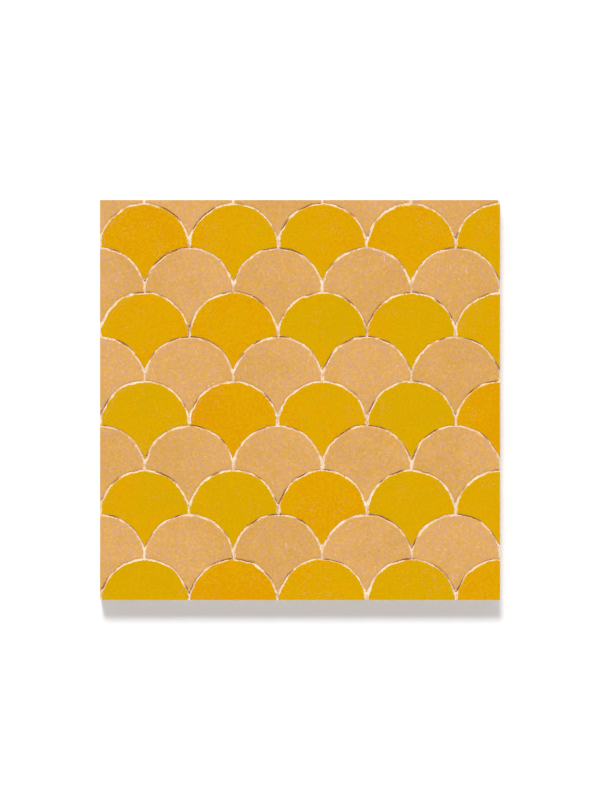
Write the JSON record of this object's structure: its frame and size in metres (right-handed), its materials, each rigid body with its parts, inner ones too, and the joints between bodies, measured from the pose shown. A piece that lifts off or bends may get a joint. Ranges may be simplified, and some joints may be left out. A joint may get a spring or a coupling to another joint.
{
  "type": "mosaic tile",
  "caption": "Square mosaic tile of hand-cut fish-scale chips, yellow glazed rows alternating with natural clay rows, in a pale grout bed; bonded by its back.",
  "frame": {"origin": "middle of the panel's flat underside", "axes": "+Z out of the tiled face, +Y the way that the domes of the chips point, +X along the rows"},
  "size_m": [0.3, 0.3, 0.0182],
  "materials": {
    "yellow_glaze": "golden yellow glaze, uneven in tone, on a clay body that shows at the chipped rim",
    "natural_clay": "unglazed tan clay, mottled and scratched",
    "grout": "pale cream cement grout, sandy"
  },
  "bodies": {
    "root": {"grout_bed": "grout", "natural_scale_r01_1": "natural_clay", "natural_scale_r01_2": "natural_clay", "natural_scale_r01_3": "natural_clay", "natural_scale_r01_4": "natural_clay", "natural_scale_r01_5": "natural_clay", "natural_scale_r03_1": "natural_clay", "natural_scale_r03_2": "natural_clay", "natural_scale_r03_3": "natural_clay", "natural_scale_r03_4": "natural_clay", "natural_scale_r03_5": "natural_clay", "natural_scale_r05_1": "natural_clay", "natural_scale_r05_2": "natural_clay", "natural_scale_r05_3": "natural_clay", "natural_scale_r05_4": "natural_clay", "natural_scale_r05_5": "natural_clay", "natural_scale_r07_1": "natural_clay", "natural_scale_r07_2": "natural_clay", "natural_scale_r07_3": "natural_clay", "natural_scale_r07_4": "natural_clay", "natural_scale_r07_5": "natural_clay", "natural_scale_r09_1": "natural_clay", "natural_scale_r09_2": "natural_clay", "natural_scale_r09_3": "natural_clay", "natural_scale_r09_4": "natural_clay", "natural_scale_r09_5": "natural_clay", "yellow_scale_r02_1": "yellow_glaze", "yellow_scale_r02_2": "yellow_glaze", "yellow_scale_r02_3": "yellow_glaze", "yellow_scale_r02_4": "yellow_glaze", "yellow_scale_r02_5": "yellow_glaze", "yellow_scale_r04_1": "yellow_glaze", "yellow_scale_r04_2": "yellow_glaze", "yellow_scale_r04_3": "yellow_glaze", "yellow_scale_r04_4": "yellow_glaze", "yellow_scale_r04_5": "yellow_glaze", "yellow_scale_r06_1": "yellow_glaze", "yellow_scale_r06_2": "yellow_glaze", "yellow_scale_r06_3": "yellow_glaze", "yellow_scale_r06_4": "yellow_glaze", "yellow_scale_r06_5": "yellow_glaze", "yellow_scale_r08_1": "yellow_glaze", "yellow_scale_r08_2": "yellow_glaze", "yellow_scale_r08_3": "yellow_glaze", "yellow_scale_r08_4": "yellow_glaze", "yellow_scale_r08_5": "yellow_glaze", "yellow_scale_r10_1": "yellow_glaze", "yellow_scale_r10_2": "yellow_glaze", "yellow_scale_r10_3": "yellow_glaze", "yellow_scale_r10_4": "yellow_glaze", "yellow_scale_r10_5": "yellow_glaze"}
  },
  "joints": []
}
